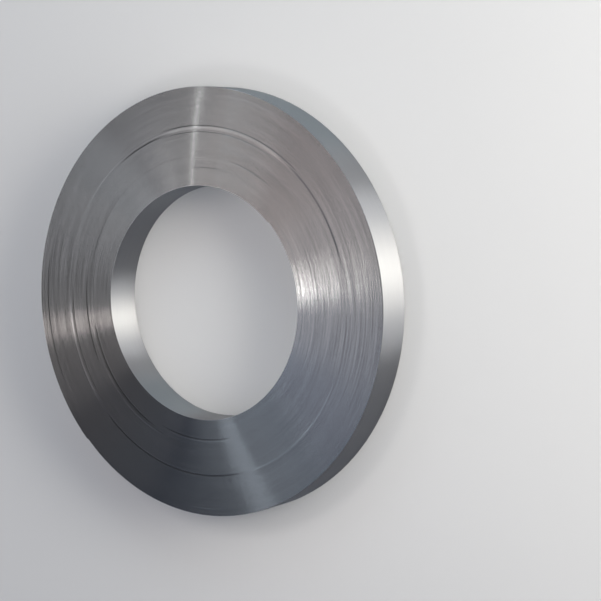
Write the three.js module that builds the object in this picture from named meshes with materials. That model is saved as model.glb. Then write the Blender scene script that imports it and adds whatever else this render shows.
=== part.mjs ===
// A slit coil: one long strip of bright cold rolled steel, wound tight into a ring. It lies on one end
// with its eye upright, as such a coil is stored when nothing keeps it from rolling.
// Millimetres, +Z up, with the floor at z = 0. The eye runs along Z, and its axis is x = 0, y = 0.

import * as THREE from "three";

// Driving dimensions. Both diameters are across the flats of the turned faces, so the eye passes a
// mandrel of its full size.
const OUTER_DIAMETER = 934;
const EYE_DIAMETER = 508;
const STRIP_WIDTH = 83;

// The strip wanders sideways as it is wound, so the turns show on both ends as rings that stand proud
// of each other. Each entry is how far one ring is lifted off the lowest one, from the eye outwards,
// with the two largest steps after the third ring and the sixth. The list starts again when the wall
// holds more rings.
const RING_HEIGHT = 21.3;
const RING_LIFTS = [0.3, 0.5, 0.4, 1.0, 1.2, 1.1, 0.1, 0.3, 0, 0.2];

// The slit edges of the first and the last turn are worn round by handling.
const WORN_EDGE = 0.6;

const SEGMENTS = 96;

// The corner radius of a turned face whose flats lie at the given distance from the axis.
function overFlats(distance) {
  return distance / Math.cos(Math.PI / SEGMENTS);
}

// The rings of turns from the eye to the rim. The last one takes what is left of the wall.
function windRings() {
  const eye = EYE_DIAMETER / 2;
  const rim = OUTER_DIAMETER / 2;
  const count = Math.max(1, Math.round((rim - eye) / RING_HEIGHT));
  const rings = [];
  for (let i = 0; i < count; i += 1) {
    rings.push({
      inner: eye + i * RING_HEIGHT,
      outer: i === count - 1 ? rim : eye + (i + 1) * RING_HEIGHT,
      lift: RING_LIFTS[i % RING_LIFTS.length],
    });
  }
  return rings;
}

// The outline of one end, as points from the eye to the rim. The end lies at the given height over
// the lower edge of each ring, and wear is how far its two worn corners drop from there.
function endOutline(rings, height, wear) {
  const first = rings[0];
  const last = rings[rings.length - 1];
  const outline = [new THREE.Vector2(first.inner, first.lift + height - wear)];
  rings.forEach((ring) => {
    const start = ring === first ? ring.inner + WORN_EDGE : ring.inner;
    const end = ring === last ? ring.outer - WORN_EDGE : ring.outer;
    outline.push(new THREE.Vector2(start, ring.lift + height));
    outline.push(new THREE.Vector2(end, ring.lift + height));
  });
  outline.push(new THREE.Vector2(last.outer, last.lift + height - wear));
  return outline;
}

// The closed section of the wall: along the lower end to the rim, up across the strip, and along the
// upper end back to the eye.
function wallSection(rings) {
  const lower = endOutline(rings, 0, -WORN_EDGE);
  const upper = endOutline(rings, STRIP_WIDTH, WORN_EDGE).reverse();
  const section = [...lower, ...upper, lower[0]];
  return section.map((point) => new THREE.Vector2(overFlats(point.x), point.y));
}

function coilMesh() {
  const rings = windRings();
  // Half a segment of turn sets flats of the rim square to X and Y.
  const geometry = new THREE.LatheGeometry(wallSection(rings), SEGMENTS, Math.PI / SEGMENTS);
  const steel = new THREE.MeshStandardMaterial({ color: 0x9a9ca0, roughness: 0.35, metalness: 1 });
  const mesh = new THREE.Mesh(geometry, steel);
  mesh.name = "steel_coil";
  // The section is turned about Y, so the ring is tipped until its axis is upright, and set down on
  // its lowest ring.
  mesh.rotation.x = Math.PI / 2;
  mesh.position.z = -Math.min(...rings.map((ring) => ring.lift));
  return mesh;
}

const coil = new THREE.Group();
coil.add(coilMesh());

export default coil;
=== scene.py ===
"""A narrow coil of bright slit steel strip, lying on one end on a pale floor. Metres, +Z up."""

import math

import bpy
from mathutils import Matrix, Vector, noise

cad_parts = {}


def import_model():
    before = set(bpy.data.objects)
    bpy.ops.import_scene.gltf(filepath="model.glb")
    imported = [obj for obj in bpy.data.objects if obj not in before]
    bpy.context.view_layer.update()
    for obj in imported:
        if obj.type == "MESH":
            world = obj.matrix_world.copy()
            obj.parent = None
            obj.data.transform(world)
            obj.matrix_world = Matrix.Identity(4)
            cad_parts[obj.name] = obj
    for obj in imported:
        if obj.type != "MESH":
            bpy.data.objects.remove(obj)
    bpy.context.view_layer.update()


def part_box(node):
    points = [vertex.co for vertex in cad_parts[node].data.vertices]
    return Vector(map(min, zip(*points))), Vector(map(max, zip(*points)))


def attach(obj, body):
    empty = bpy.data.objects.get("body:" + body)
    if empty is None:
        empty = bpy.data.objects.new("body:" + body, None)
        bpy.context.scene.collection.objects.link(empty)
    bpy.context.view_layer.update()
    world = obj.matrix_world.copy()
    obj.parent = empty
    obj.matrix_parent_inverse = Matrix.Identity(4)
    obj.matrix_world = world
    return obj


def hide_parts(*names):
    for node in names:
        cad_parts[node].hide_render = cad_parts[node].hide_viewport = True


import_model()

# The coil. Its rim and its height are the frame's, and the rest is the strip's own.
COIL_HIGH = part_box("steel_coil")[1]
RIM_RADIUS = COIL_HIGH.x
EYE_RADIUS = 0.254
MIDDLE_RADIUS = (EYE_RADIUS + RIM_RADIUS) / 2
STRIP_WIDTH = 0.083
PLAY = COIL_HIGH.z - STRIP_WIDTH  # how far the turns can stand proud of each other
THICKNESS = 0.002
GAP = 0.00003  # between one turn and the next
HALF_TURNS = round(2 * ((RIM_RADIUS - EYE_RADIUS) / THICKNESS - 1))
STEPS = 128  # in one turn
LAST_TURN = (HALF_TURNS - 2) * STEPS // 2  # the step that it starts at
FULL_TURN = 360  # degrees
START = 45  # degrees, where the strip starts in the eye

# The slit edges: how far across the thickness each point lies, and how far it lies under the
# highest one. The knives leave the side that faces the eye sharp and roll the other one over.
UPPER_EDGE = ((0.0, 0.0), (0.35, 0.00018), (0.70, 0.00045), (1.0, 0.00080))
LOWER_EDGE = ((0.0, 0.0), (0.5, 0.00028), (1.0, 0.00080))
SHARP = math.radians(35)  # an edge that turns by more than this is sharp
LEVEL = 0.3  # a face whose normal rises or falls by more than this lies on an end

# How far the turns lie off the lowest: one value for the turns round the eye, and one each for
# those past the two steps that show on the end.
ZONE_LIFTS = (0.00055, 0.00085, 0.00050)
ZONE_STEPS = (0.317, 0.378)  # radius

# Where each side of the coil lies across the map of its surface.
MAP_ROWS = {
    "upper_end": (0.52, 1.0),
    "lower_end": (0.26, 0.50),
    "rim": (0.15, 0.25),
    "eye": (0.04, 0.14),
    "between": (0.0, 0.03),
}

# Loose turns: radius, first and last angle, how far they are pushed in or out, how many turns.
LOOSE_TURNS = (
    (0.378, 18, 52, -0.00036, 2),
    (0.384, 50, 103, -0.00045, 1),
    (0.377, 50, 103, 0.00030, 3),
    (0.370, 60, 103, -0.00035, 1),
    (0.373, 107, 124, -0.00036, 2),
    (0.374, 184, 217, 0.00030, 2),
    (0.367, 182, 217, -0.00040, 1),
    (0.377, 226, 284, -0.00050, 2),
    (0.378, 294, 334, 0.00030, 2),
    (0.377, 346, 358, -0.00034, 2),
    (0.327, 174, 206, -0.00038, 2),
    (0.317, 195, 250, 0.00025, 2),
    (0.309, 193, 243, -0.00040, 2),
    (0.303, 255, 284, 0.00025, 1),
    (0.299, 250, 284, -0.00040, 1),
    (0.316, 57, 73, -0.00032, 2),
    (0.293, 80, 92, -0.00030, 1),
    (0.444, 170, 206, -0.00028, 2),
    (0.450, 266, 275, 0.00030, 1),
    (0.441, 350, 363, -0.00030, 1),
)
NEAR = 0.012  # how far from its radius a group of loose turns is looked for
FADE = 0.012  # turns, over which a push fades in and out
LEAN = 0.7  # how far the outer side of a loose turn is pushed further, as a share of its push

# How the strip wanders sideways as it is wound, as waves: how far, radians in a turn, and where in
# the wave the strip starts.
WANDER = ((0.00004, 2.1, 0), (0.00004, 3.7, 1), (0.00003, 5.9, 2))

# How far the outer side of the upper edge rises or falls in short, ragged stretches: on the sides
# of the coil that Y passes through, and on those that X passes through.
RAGGED = (0.00005, 0.00025)
RAGGED_SIDES = 10  # an even power: the higher, the closer the ragged stretches stay to X
RAGGED_ROUND = 3  # stretches in a radian
RAGGED_ACROSS = 0.55  # stretches in a turn


# ---------------------------------------------------------------- hand tools

def deselect_all():
    if bpy.context.mode != "OBJECT":
        bpy.ops.object.mode_set(mode="OBJECT")
    bpy.ops.object.select_all(action="DESELECT")


def make_active(piece):
    deselect_all()
    piece.select_set(True)
    bpy.context.view_layer.objects.active = piece


def select_where(piece, test):
    """In edit mode, selects the vertices whose place passes a test, and the edges between them."""
    bpy.ops.mesh.select_mode(type="VERT")
    bpy.ops.mesh.select_all(action="DESELECT")
    bpy.ops.object.mode_set(mode="OBJECT")
    for vertex in piece.data.vertices:
        vertex.select = test(vertex.co)
    bpy.ops.object.mode_set(mode="EDIT")
    bpy.ops.mesh.select_mode(type="EDGE")


def smooth_step(low, high, value):
    """How far the value has come from low to high, from 0 to 1 and with soft ends."""
    share = min(max((value - low) / (high - low), 0.0), 1.0)
    return share * share * (3 - 2 * share)


# ---------------------------------------------------------------- the coil

def shape_edge(points, outline, height, down):
    """Moves the points of one slit edge onto its outline, from the eye side outwards."""
    points.sort(key=lambda vertex: vertex.co.x)
    for vertex, (across, drop) in zip(points, outline):
        vertex.co.x = EYE_RADIUS + across * (THICKNESS - GAP)
        vertex.co.z = height + down * drop


def strip_section():
    """The cut across the strip where it starts: a closed loop of edges in the XZ plane."""
    deselect_all()
    bpy.ops.mesh.primitive_plane_add(size=1)
    strip = bpy.context.object
    strip.name = "wound_strip"
    half_way = STRIP_WIDTH / 2
    bpy.ops.object.mode_set(mode="EDIT")
    bpy.ops.transform.resize(value=(THICKNESS, STRIP_WIDTH, 1))
    bpy.ops.transform.rotate(value=math.pi / 2, orient_axis="X", center_override=(0, 0, 0))
    bpy.ops.transform.translate(value=(EYE_RADIUS + THICKNESS / 2, 0, half_way))
    bpy.ops.mesh.delete(type="ONLY_FACE")
    select_where(strip, lambda place: place.z > half_way)
    bpy.ops.mesh.subdivide(number_cuts=len(UPPER_EDGE) - 2)
    select_where(strip, lambda place: place.z < half_way)
    bpy.ops.mesh.subdivide(number_cuts=len(LOWER_EDGE) - 2)
    bpy.ops.object.mode_set(mode="OBJECT")
    upper = [vertex for vertex in strip.data.vertices if vertex.co.z > half_way]
    lower = [vertex for vertex in strip.data.vertices if vertex.co.z < half_way]
    shape_edge(upper, UPPER_EDGE, STRIP_WIDTH, -1)
    shape_edge(lower, LOWER_EDGE, 0, 1)
    return strip


def loose_arc(turns, radius, first, last, push, count):
    """How far a group of loose turns is pushed at this place on the strip."""
    middle = ((first + last) / 2 - START) / FULL_TURN
    base = round((radius - EYE_RADIUS) / THICKNESS - count / 2 - middle)
    spread = (last - first) / (2 * FULL_TURN)
    total = 0.0
    for turn in range(count):
        away = abs(turns - (base + turn + middle))
        total += push * (1 - smooth_step(spread - FADE, spread + FADE, away))
    return total


def angle_after(turns):
    """Where the strip is round the coil after this many turns, in radians."""
    return math.radians(START) + 2 * math.pi * turns


def pushed(turns):
    """How far the strip is pushed out of line with its neighbours after this many turns."""
    radius = EYE_RADIUS + turns * THICKNESS
    return sum(loose_arc(turns, *arc) for arc in LOOSE_TURNS if abs(radius - arc[0]) < NEAR)


def in_line(turns):
    """How far the strip lies off its lowest place after this many turns, where none is loose."""
    radius = EYE_RADIUS + turns * THICKNESS
    wander = sum(far * math.sin(pace * turns + start) for far, pace, start in WANDER)
    return ZONE_LIFTS[sum(radius > step for step in ZONE_STEPS)] + wander


def lean(turns):
    """How far the outer side of the upper edge rises after this many turns, where none is loose."""
    angle = angle_after(turns)
    east, north = math.cos(angle), math.sin(angle)
    height = RAGGED[0] + (RAGGED[1] - RAGGED[0]) * east ** RAGGED_SIDES
    return height * noise.noise((RAGGED_ROUND * east, RAGGED_ROUND * north, RAGGED_ACROSS * turns))


def wind(strip):
    """Carries the section round in level turns, then lets each one out over the one before."""
    count = len(strip.data.vertices)
    screw = strip.modifiers.new("winding", "SCREW")
    screw.axis = "Z"
    screw.angle = math.pi
    screw.steps = screw.render_steps = STEPS // 2
    screw.iterations = HALF_TURNS
    screw.use_merge_vertices = False
    make_active(strip)
    bpy.ops.object.modifier_apply(modifier=screw.name)
    for index, vertex in enumerate(strip.data.vertices):
        turns = (index // count) / STEPS
        if index % count == 0:
            angle = angle_after(turns)
            push = pushed(turns)
            lift = min(max(in_line(turns) + push, 0.0), PLAY)
        radius = math.hypot(vertex.co.x, vertex.co.y)
        across = (radius - EYE_RADIUS) / THICKNESS
        rise = (LEAN * push + lean(turns)) * across * vertex.co.z / STRIP_WIDTH
        radius += turns * THICKNESS
        height = vertex.co.z + lift + rise
        vertex.co = (radius * math.cos(angle), radius * math.sin(angle), height)


def close_ends(strip):
    """Closes the cut ends of the strip, turns every face outwards and smooths the slit edges."""
    make_active(strip)
    bpy.ops.object.mode_set(mode="EDIT")
    bpy.ops.mesh.select_all(action="SELECT")
    bpy.ops.mesh.fill_holes(sides=0)
    bpy.ops.mesh.select_all(action="SELECT")
    bpy.ops.mesh.normals_make_consistent(inside=False)
    bpy.ops.object.mode_set(mode="OBJECT")
    bpy.ops.object.shade_smooth_by_angle(angle=SHARP)


def side_of(face, step):
    """Which side of the coil a face of the strip is on, from its direction and its turn."""
    if abs(face.normal.z) > LEVEL:
        return "upper_end" if face.normal.z > 0 else "lower_end"
    outwards = face.normal.x * face.center.x + face.normal.y * face.center.y > 0
    if outwards and step >= LAST_TURN:
        return "rim"
    if not outwards and step < STEPS:
        return "eye"
    return "between"


def lay_out_map(strip, count, sides):
    """Lays the faces on the map: once round the coil is its width, and each side has a row."""
    places = strip.data.uv_layers.new(name="OFBake").data
    for face, side in zip(strip.data.polygons, sides):
        low, high = MAP_ROWS[side]
        first = min(face.vertices) // count
        for corner, index in zip(face.loop_indices, face.vertices):
            place = strip.data.vertices[index].co
            share = place.z / COIL_HIGH.z
            if side in ("upper_end", "lower_end"):
                share = (math.hypot(place.x, place.y) - EYE_RADIUS) / (RIM_RADIUS - EYE_RADIUS)
            around = (first % STEPS + index // count - first) / STEPS
            places[corner].uv = (around, low + (high - low) * share)


def wound_strip(finishes):
    """The coil. Each side of it has one of the finishes."""
    strip = strip_section()
    count = len(strip.data.vertices)
    wind(strip)
    close_ends(strip)
    sides = [side_of(face, min(face.vertices) // count) for face in strip.data.polygons]
    for finish in dict.fromkeys(finishes.values()):
        strip.data.materials.append(finish)
    slots = list(strip.data.materials)
    for face, side in zip(strip.data.polygons, sides):
        face.material_index = slots.index(finishes[side])
    lay_out_map(strip, count, sides)
    return strip


# ---------------------------------------------------------------- finishes

# The grain of the steel runs round the coil, so a quarter turn spreads the light across the turns.
ACROSS = 0.25

# How fine the slit edges' tone is, in changes over a metre of radius and round the coil, and the
# range in which most of a noise's values lie.
ARCS = (190, 1.3)
BANDS = (60, 0.8)
NOISE_RANGE = (0.35, 0.65)

# The roughness of the slit edges: the least, and how much more the roughest have.
SATIN = (0.17, 0.05)

# Where the slit edges twist a little along the strip, which slants the light that they spread: the
# angle round the coil, and how much more they twist with each metre from the middle of the wall.
TWISTS = ((92, -0.27), (289, 0.26))
TWIST_FADE = 8  # the higher, the closer a twist stays to its angle

GRAIN = (900, 5)  # how fine the rolled face's grain is, in a metre of height and round the coil
# A near-black tint that darkens what the rim and the eye mirror at low angles: painted shade in
# their reflections, not a property of the steel.
GLANCING_PAINTED_SHADE = (0.05, 0.05, 0.06, 1)  # the tint of the rolled face where it is seen at a low angle


class Wire:
    """An output of a finish's node, with the arithmetic that the finishes use."""

    def __init__(self, finish, socket):
        self.finish = finish
        self.socket = socket

    def reckon(self, operation, first, second):
        return self.finish.node("ShaderNodeMath", {"operation": operation}, {0: first, 1: second})

    def __add__(self, other):
        return self.reckon("ADD", self, other)

    __radd__ = __add__

    def __sub__(self, other):
        return self.reckon("SUBTRACT", self, other)

    def __rsub__(self, other):
        return self.reckon("SUBTRACT", other, self)

    def __mul__(self, other):
        return self.reckon("MULTIPLY", self, other)

    __rmul__ = __mul__

    def __truediv__(self, other):
        return self.reckon("DIVIDE", self, other)

    def __rtruediv__(self, other):
        return self.reckon("DIVIDE", other, self)

    def __pow__(self, other):
        return self.reckon("POWER", self, other)

    def __rpow__(self, other):
        return self.reckon("POWER", other, self)


class Finish:
    """A surface finish: a material whose nodes are added one at a time."""

    def __init__(self, name):
        self.material = bpy.data.materials.new(name)
        self.material.use_nodes = True
        self.tree = self.material.node_tree
        self.shader = self.tree.nodes["Principled BSDF"]

    def node(self, kind, settings, sockets, output=0):
        """Adds a node: its settings first, then the value or the wire of each socket."""
        made = self.tree.nodes.new(kind)
        for name, value in settings.items():
            setattr(made, name, value)
        for key, value in sockets.items():
            self.feed(made.inputs[key], value)
        return Wire(self, made.outputs[output])

    def feed(self, socket, value):
        if isinstance(value, Wire):
            self.tree.links.new(value.socket, socket)
        else:
            socket.default_value = value

    def surface(self, sockets):
        """Gives the surface's own sockets their values or wires, and returns the material."""
        for key, value in sockets.items():
            self.feed(self.shader.inputs[key], value)
        return self.material

    def round_place(self):
        """The radius, how far the direction from the axis goes along X and Y, and the height."""
        place = self.node("ShaderNodeTexCoord", {}, {}, "Object")
        split = self.node("ShaderNodeSeparateXYZ", {}, {"Vector": place})
        x, y, z = (Wire(self, socket) for socket in split.socket.node.outputs)
        flat = self.node("ShaderNodeCombineXYZ", {}, {"X": x, "Y": y})
        radius = self.node("ShaderNodeVectorMath", {"operation": "LENGTH"}, {0: flat}, "Value")
        return radius, x / radius, y / radius, z

    def noise(self, x, y, z, detail=2.0, roughness=0.5):
        vector = self.node("ShaderNodeCombineXYZ", {}, {"X": x, "Y": y, "Z": z})
        sockets = {"Vector": vector, "Scale": 1.0, "Detail": detail, "Roughness": roughness}
        return self.node("ShaderNodeTexNoise", {}, sockets)

    def blend(self, factor, first, second):
        """A colour between two, given as (red, green, blue)."""
        sockets = {0: factor, 6: (*first, 1), 7: (*second, 1)}  # a Mix node's sockets for colours
        return self.node("ShaderNodeMix", {"data_type": "RGBA"}, sockets, 2)

    def ramp(self, value, low, high):
        """Carries a value from the range low to high onto 0 to 1, and no further."""
        sockets = {"Value": value, "From Min": low, "From Max": high}
        return self.node("ShaderNodeMapRange", {"clamp": True}, sockets)


def twisted_edges(finish, radius, east, north):
    """The relief of the slit edges where they twist along the strip, in metres."""
    relief = 0.0
    for around, slope in TWISTS:
        angle = math.radians(around)
        ahead = east * math.cos(angle) + north * math.sin(angle)
        aside = north * math.cos(angle) - east * math.sin(angle)
        relief = relief + aside * finish.ramp(ahead, 0.0, 1.0) ** TWIST_FADE * slope
    return relief * radius * (radius - MIDDLE_RADIUS)


def slit_edge_finish():
    """Sheared steel: a satin that spreads the light across the turns, and some turns less of it."""
    finish = Finish("slit_edge")
    radius, east, north, _ = finish.round_place()
    arcs = finish.noise(radius * ARCS[0], east * ARCS[1], north * ARCS[1])
    bands = finish.noise(radius * BANDS[0], east * BANDS[1], north * BANDS[1])
    tone = finish.ramp(arcs * 0.5 + bands * 0.5, *NOISE_RANGE)
    colour = finish.blend(tone, (0.37, 0.368, 0.37), (0.40, 0.398, 0.40))
    roughness = finish.ramp(arcs, *NOISE_RANGE) * SATIN[1] + SATIN[0]
    relief = twisted_edges(finish, radius, east, north)
    normal = finish.node("ShaderNodeBump", {}, {"Distance": 1.0, "Height": relief})
    return finish.surface({"Base Color": colour, "Metallic": 1.0, "Roughness": roughness,
                           "Anisotropic": 1.0, "Anisotropic Rotation": ACROSS, "Normal": normal})


def rolled_face_finish():
    """Bright rolled steel, with faint grain along the strip that spreads the light up and down, and
    painted shade that darkens its reflections at low angles.
    """
    finish = Finish("rolled_face")
    _, east, north, height = finish.round_place()
    grain = finish.noise(height * GRAIN[0], east * GRAIN[1], north * GRAIN[1], detail=3.0)
    colour = finish.blend(grain, (0.34, 0.345, 0.355), (0.39, 0.395, 0.405))
    # The glancing tint is painted shade: it darkens the rim's and the eye's reflections at low
    # angles.
    return finish.surface({"Base Color": colour, "Metallic": 1.0, "Roughness": 0.47,
                           "Specular Tint": GLANCING_PAINTED_SHADE,
                           "Anisotropic": 1.0, "Anisotropic Rotation": ACROSS})


def painted_shade_between_turns_finish():
    """The rolled face between the turns, painted near black: painted shade between the turns, which
    also stops light bouncing between them.
    """
    finish = Finish("painted_shade_between_turns")
    # Painted shade: the faces between the turns are near black, so no light bounces between them.
    return finish.surface({"Base Color": (0.08, 0.08, 0.08, 1), "Metallic": 1.0, "Roughness": 0.4})


# ---------------------------------------------------------------- studio

FLOOR_SIZE = 60  # wide enough to fill the low views too
FLOOR_COLOUR = (0.64, 0.64, 0.64, 1)
ROOM_COLOUR = (0.09, 0.1, 0.135, 1)

LENS = 105.0  # millimetres, as is the sensor
SENSOR = 36
CAMERA_AT = Vector((2.3252, 0.3528, 3.0697))
CAMERA_AIM = Vector((0.2637, 0.0194, 0.0842))
CAMERA_UP = Vector((-0.0520, 0.9958, -0.0753))

LAMP_DISTANCE = 4.0  # from the coil, of all lamps but the two near ones at its right


def floor():
    deselect_all()
    bpy.ops.mesh.primitive_plane_add(size=FLOOR_SIZE, location=(0, 0, 0))
    plane = bpy.context.object
    plane.name = "floor"
    finish = Finish("pale_floor")
    plane.data.materials.append(finish.surface({"Base Color": FLOOR_COLOUR, "Roughness": 0.9}))


def place_at(piece, place, aim, up):
    """Puts a lamp or the camera in its place and turns it to face the aim."""
    back = (place - aim).normalized()
    right = up.cross(back).normalized()
    turned = Matrix((right, back.cross(right), back)).transposed().to_4x4()
    piece.matrix_world = Matrix.Translation(place) @ turned


def bearing(azimuth, elevation):
    """A direction from the coil, from its two angles in degrees."""
    azimuth = math.radians(azimuth)
    elevation = math.radians(elevation)
    level = math.cos(elevation)
    return Vector((math.cos(azimuth) * level, math.sin(azimuth) * level, math.sin(elevation)))


def hang_lamp(name, shape, place, aim, up, size, radiance, colour):
    """Hangs a flat lamp that faces the aim. Its radiance is that of its face, whatever its size."""
    data = bpy.data.lights.new(name, "AREA")
    data.shape = shape
    data.size, data.size_y = size
    filled = math.pi / 4 if shape == "ELLIPSE" else 1  # how much of its rectangle the lamp fills
    data.energy = radiance * math.pi * size[0] * size[1] * filled
    data.color = colour
    piece = bpy.data.objects.new(name, data)
    bpy.context.collection.objects.link(piece)
    place_at(piece, place, aim, up)


def low_lamp(name, azimuth, elevation, size, radiance, colour):
    """A lamp in a direction from the coil. Its size is its width and its height, in degrees."""
    aim = Vector((0, 0, COIL_HIGH.z))
    place = aim + bearing(azimuth, elevation) * LAMP_DISTANCE
    metres = [2 * LAMP_DISTANCE * math.tan(math.radians(degrees / 2)) for degrees in size]
    hang_lamp(name, "RECTANGLE", place, aim, Vector((0, 0, 1)), metres, radiance, colour)


def fan_lamp(name, around, spread, tilts, radiance, colour, distance):
    """A lamp that shows on the upper end at an angle round the coil, in the slit edges that lean
    outwards by the two tilts. All are in degrees."""
    out = bearing(around, 0)
    spot = out * MIDDLE_RADIUS + Vector((0, 0, COIL_HIGH.z))
    view = (CAMERA_AT - spot).normalized()
    ends = []
    for tilt in tilts:
        normal = out * math.sin(math.radians(tilt)) + Vector((0, 0, math.cos(math.radians(tilt))))
        ends.append(spot + (2 * normal.dot(view) * normal - view) * distance)
    place = (ends[0] + ends[1]) / 2
    width = 2 * math.sin(math.radians(sum(tilts) / 2)) * math.radians(spread) * distance
    length = (ends[1] - ends[0]).length
    hang_lamp(name, "ELLIPSE", place, spot, ends[1] - ends[0], (width, length), radiance, colour)


# The lamps near the floor, which the rim and the eye mirror: azimuth and elevation, width and
# height (all in degrees), radiance and colour.
LOW_LAMPS = {
    "front_core": (13, 19, (14, 22), 7.4, (1, 0.95, 0.84)),
    "front_low": (13, 16, (34, 18), 8.8, (1, 0.95, 0.85)),
    "front_wide": (13, 13, (64, 16), 7.2, (1, 1, 1)),
    "right_low": (50, 22, (36, 26), 1.8, (1, 1, 1)),
    "north_low": (92, 20, (50, 26), 1.7, (0.74, 0.93, 1)),
}

# The ring of wide lamps over the coil, one for each part of the upper end: where on the end it
# shows (in degrees), radiance and colour. Each spreads over the same angle and the same two tilts.
RING_FAN = (76, (2, 23))
RING_LAMPS = (
    (9, 0.51, (1, 0.95, 0.94)),
    (33, 0.65, (1, 0.89, 0.83)),
    (57, 0.32, (1, 0.83, 0.74)),
    (81, 0.72, (1, 0.96, 0.92)),
    (105, 0.40, (1, 0.99, 0.98)),
    (129, 0.56, (0.97, 0.97, 1)),
    (153, 0.50, (0.90, 0.96, 1)),
    (177, 0.34, (1, 0.93, 0.90)),
    (201, 0.03, (1, 0.80, 0.70)),
    (225, 0.09, (1, 0.97, 0.97)),
    (249, 0.02, (0.60, 0.80, 1)),
    (273, 0.04, (0.50, 0.70, 1)),
    (297, 0.36, (0.83, 0.94, 1)),
    (321, 0.14, (0.60, 0.75, 1)),
    (345, 0.54, (0.83, 0.89, 1)),
)

# The narrow lamps that draw the bright streaks across the upper end: where it shows, how wide,
# between which tilts (all in degrees), radiance, colour and distance.
STREAK_LAMPS = {
    "right_streak": (8.0, 16, (0, 9), 8.0, (1, 0.98, 0.92), 0.95),
    "right_glow": (10.5, 95, (0, 9), 6.4, (1, 0.98, 0.94), 0.75),
    "top_streak": (91.5, 1.3, (16, 30), 3.3, (0.98, 1, 0.98), LAMP_DISTANCE),
    "left_streak": (190.5, 9.5, (4, 20), 2.1, (1, 0.89, 0.84), LAMP_DISTANCE),
    "bottom_streak": (289.6, 13, (8, 24), 0.52, (0.8, 0.9, 1), LAMP_DISTANCE),
}


def lamps():
    for name, (azimuth, elevation, size, radiance, colour) in LOW_LAMPS.items():
        low_lamp(name, azimuth, elevation, size, radiance, colour)
    for around, radiance, colour in RING_LAMPS:
        fan_lamp("ring_%d" % around, around, *RING_FAN, radiance, colour, LAMP_DISTANCE)
    for name, settings in STREAK_LAMPS.items():
        fan_lamp(name, *settings)


def world():
    sky = bpy.data.worlds.new("room")
    sky.use_nodes = True
    sky.node_tree.nodes["Background"].inputs["Color"].default_value = ROOM_COLOUR
    bpy.context.scene.world = sky


def camera():
    data = bpy.data.cameras.new("camera")
    data.lens = LENS
    data.sensor_width = SENSOR
    piece = bpy.data.objects.new("camera", data)
    bpy.context.collection.objects.link(piece)
    place_at(piece, CAMERA_AT, CAMERA_AIM, CAMERA_UP)
    bpy.context.scene.camera = piece


slit_edge = slit_edge_finish()
rolled_face = rolled_face_finish()
coil = wound_strip({
    "upper_end": slit_edge,
    "lower_end": slit_edge,
    "rim": rolled_face,
    "eye": rolled_face,
    "between": painted_shade_between_turns_finish(),
})
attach(coil, "root")
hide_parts("steel_coil")
floor()
lamps()
world()
camera()
bpy.context.scene.view_settings.view_transform = "Standard"
